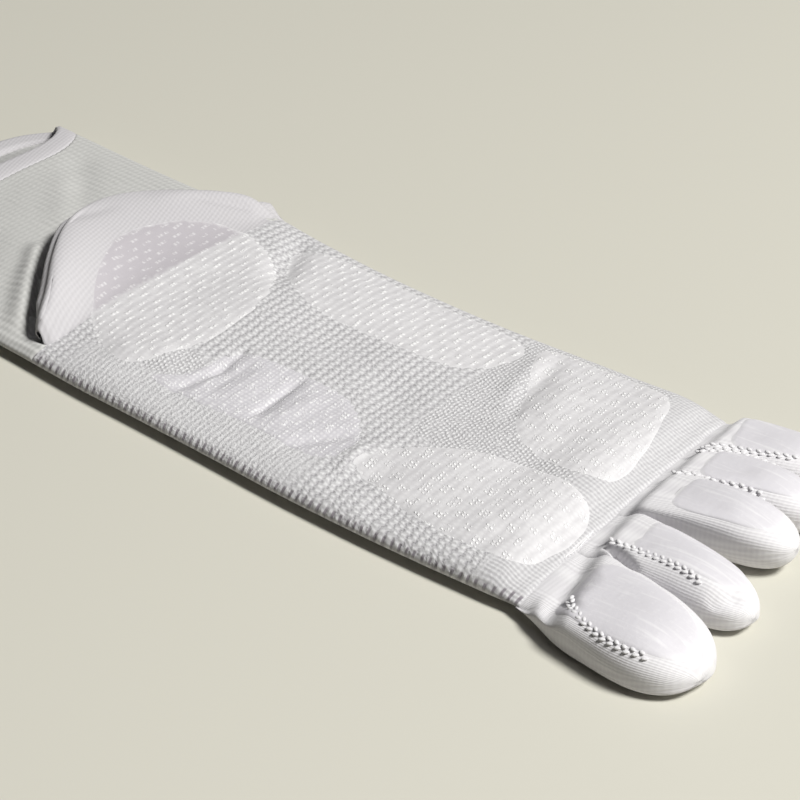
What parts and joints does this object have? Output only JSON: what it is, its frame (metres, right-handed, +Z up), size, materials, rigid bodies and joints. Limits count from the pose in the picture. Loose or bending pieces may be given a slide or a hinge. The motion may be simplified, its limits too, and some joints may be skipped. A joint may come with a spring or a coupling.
{
  "type": "toe sock",
  "caption": "Ankle-length five-toe sock with a ribbed leg and rubber grip films under heel, arch, ball and toes, lying flat with its sole up.",
  "frame": {"origin": "middle of the part's box on the surface it lies on", "axes": "+X from the cuff to the toes, +Y from the big toe's side to the little toe's side, +Z up out of the sole"},
  "size_m": [0.2956, 0.1004, 0.0138],
  "materials": {
    "plain": "white plain fine knit, matt",
    "rib": "white ribbed knit, matt",
    "mesh": "white knit, partly open mesh, matt",
    "film": "thin translucent lilac-grey silicone rubber film, satin"
  },
  "bodies": {
    "root": {"welt": "plain", "leg": "rib", "heel": "plain", "foot": "mesh", "toe_big": "plain", "toe_second": "plain", "toe_third": "plain", "toe_fourth": "plain", "toe_little": "plain", "heel_film": "film", "arch_film_outer": "film", "arch_film_inner": "film", "ball_film_outer": "film", "ball_film_inner": "film", "toe_big_film": "film", "toe_second_film": "film", "toe_third_film": "film", "toe_fourth_film": "film", "toe_little_film": "film"}
  },
  "joints": []
}
